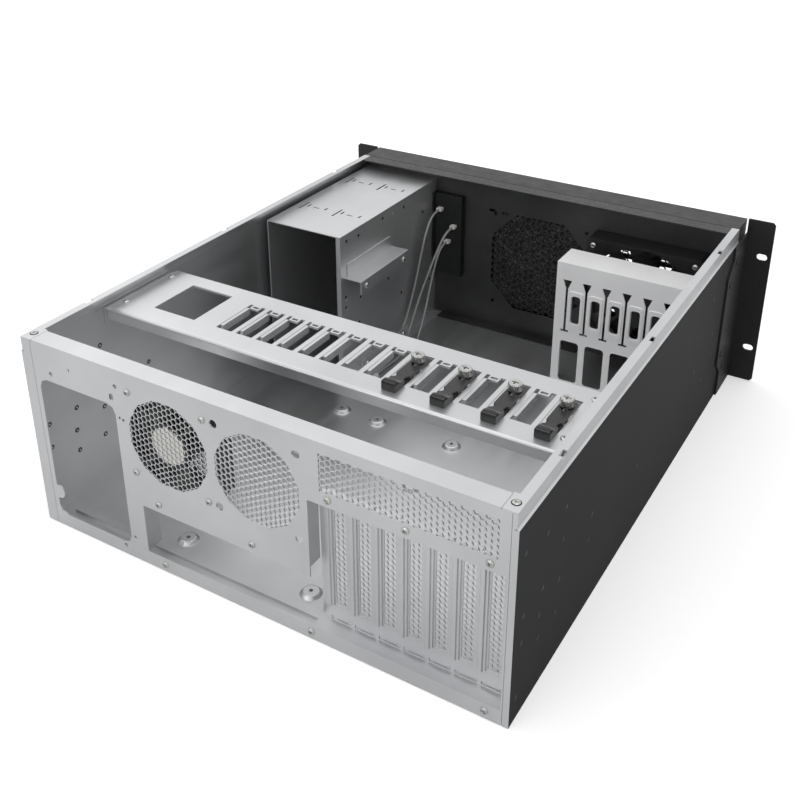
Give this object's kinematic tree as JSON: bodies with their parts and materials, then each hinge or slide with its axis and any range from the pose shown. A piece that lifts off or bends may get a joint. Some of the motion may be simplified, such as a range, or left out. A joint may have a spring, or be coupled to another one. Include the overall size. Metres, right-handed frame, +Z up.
{
  "type": "empty rackmount server case",
  "caption": "Open-topped steel rackmount case with a drive cage, card slots, retainer crossbar, card guide, front and rear fans, rack ears and a plastic bezel.",
  "frame": {"origin": "centre of the footprint at the underside of the case", "axes": "+Z up, -Y towards the rack ears and the bezel, +Y towards the rear panel, +X towards the power supply side"},
  "size_m": [0.4826, 0.5352, 0.177],
  "materials": {
    "sheet_steel": "zinc coated",
    "black_paint": "matt black powder coat",
    "bezel_plastic": "matt",
    "fan_plastic": "satin black",
    "retainer_plastic": "satin",
    "fasteners": "zinc plated",
    "foam": "open foam",
    "circuit_board": "solder mask",
    "button_plastic": "satin",
    "lamp_lens": "tinted lens",
    "port_shell": "plated",
    "connector_plastic": "moulded, light",
    "lead_sleeve": "light grey vinyl"
  },
  "bodies": {
    "case": {"chassis_tray": "sheet_steel", "rear_panel": "sheet_steel", "slot_bracket": "sheet_steel", "slot_cover_1": "sheet_steel", "slot_cover_2": "sheet_steel", "slot_cover_3": "sheet_steel", "slot_cover_4": "sheet_steel", "slot_cover_5": "sheet_steel", "slot_cover_6": "sheet_steel", "slot_cover_7": "sheet_steel", "crossbar": "sheet_steel", "bar_angle_a": "sheet_steel", "bar_angle_b": "sheet_steel", "drive_cage": "sheet_steel", "disk_shelf_upper": "sheet_steel", "disk_shelf_lower": "sheet_steel", "card_guide": "sheet_steel", "rack_ear_a": "black_paint", "rack_ear_b": "black_paint", "board_bracket": "black_paint", "front_wall": "black_paint", "bezel": "bezel_plastic", "bay_cover_1": "bezel_plastic", "bay_cover_2": "bezel_plastic", "rear_fan_frame": "fan_plastic", "front_fan_frame": "fan_plastic", "panel_screws": "fasteners", "bar_screws": "fasteners", "fan_screws": "fasteners", "front_fan_screws": "fasteners", "shelf_screws": "fasteners", "ear_screws_a": "fasteners", "ear_screws_b": "fasteners", "clamp_nuts": "fasteners", "dust_filter": "foam", "front_board": "circuit_board", "indicator_lamps": "lamp_lens", "front_ports": "port_shell", "header_a": "connector_plastic", "plug_a": "connector_plastic", "lead_a": "lead_sleeve", "header_b": "connector_plastic", "plug_b": "connector_plastic", "lead_b": "lead_sleeve", "header_c": "connector_plastic", "plug_c": "connector_plastic", "lead_c": "lead_sleeve"},
    "rear_fan_rotor": {"rear_fan_rotor": "fan_plastic"},
    "front_fan_rotor": {"front_fan_rotor": "fan_plastic"},
    "power_button": {"power_button": "button_plastic"},
    "reset_button": {"reset_button": "button_plastic"},
    "retainer_1": {"retainer_1": "retainer_plastic"},
    "retainer_2": {"retainer_2": "retainer_plastic"},
    "retainer_3": {"retainer_3": "retainer_plastic"},
    "retainer_4": {"retainer_4": "retainer_plastic"},
    "thumb_screw_1": {"thumb_screw_1": "fasteners"},
    "thumb_screw_2": {"thumb_screw_2": "fasteners"},
    "thumb_screw_3": {"thumb_screw_3": "fasteners"},
    "thumb_screw_4": {"thumb_screw_4": "fasteners"}
  },
  "joints": [
    {"name": "rear_fan_spin", "type": "hinge", "parent": "case", "child": "rear_fan_rotor", "pos_m": [0.068, 0.252, 0.1236], "axis": [0, 1, 0], "continuous": true},
    {"name": "front_fan_spin", "type": "hinge", "parent": "case", "child": "front_fan_rotor", "pos_m": [-0.13, -0.222, 0.086], "axis": [0, 1, 0], "continuous": true},
    {"name": "power_button_press", "type": "slide", "parent": "case", "child": "power_button", "axis": [0, 1, 0], "range_m": [0, 0.0015], "stiffness_N_per_m": 400, "springref_m": -0.0005},
    {"name": "reset_button_press", "type": "slide", "parent": "case", "child": "reset_button", "axis": [0, 1, 0], "range_m": [0, 0.0015], "stiffness_N_per_m": 400, "springref_m": -0.0005},
    {"name": "retainer_1_slide", "type": "slide", "parent": "case", "child": "retainer_1", "axis": [0, 1, 0], "range_m": [-0.006, 0.006]},
    {"name": "thumb_screw_1_turn", "type": "hinge", "parent": "case", "child": "thumb_screw_1", "pos_m": [-0.06606, 0.129, 0.165], "axis": [0, 0, 1], "continuous": true},
    {"name": "retainer_2_slide", "type": "slide", "parent": "case", "child": "retainer_2", "axis": [0, 1, 0], "range_m": [-0.006, 0.006]},
    {"name": "thumb_screw_2_turn", "type": "hinge", "parent": "case", "child": "thumb_screw_2", "pos_m": [-0.1067, 0.129, 0.165], "axis": [0, 0, 1], "continuous": true},
    {"name": "retainer_3_slide", "type": "slide", "parent": "case", "child": "retainer_3", "axis": [0, 1, 0], "range_m": [-0.006, 0.006]},
    {"name": "thumb_screw_3_turn", "type": "hinge", "parent": "case", "child": "thumb_screw_3", "pos_m": [-0.14734, 0.129, 0.165], "axis": [0, 0, 1], "continuous": true},
    {"name": "retainer_4_slide", "type": "slide", "parent": "case", "child": "retainer_4", "axis": [0, 1, 0], "range_m": [-0.006, 0.006]},
    {"name": "thumb_screw_4_turn", "type": "hinge", "parent": "case", "child": "thumb_screw_4", "pos_m": [-0.18798, 0.129, 0.165], "axis": [0, 0, 1], "continuous": true}
  ]
}
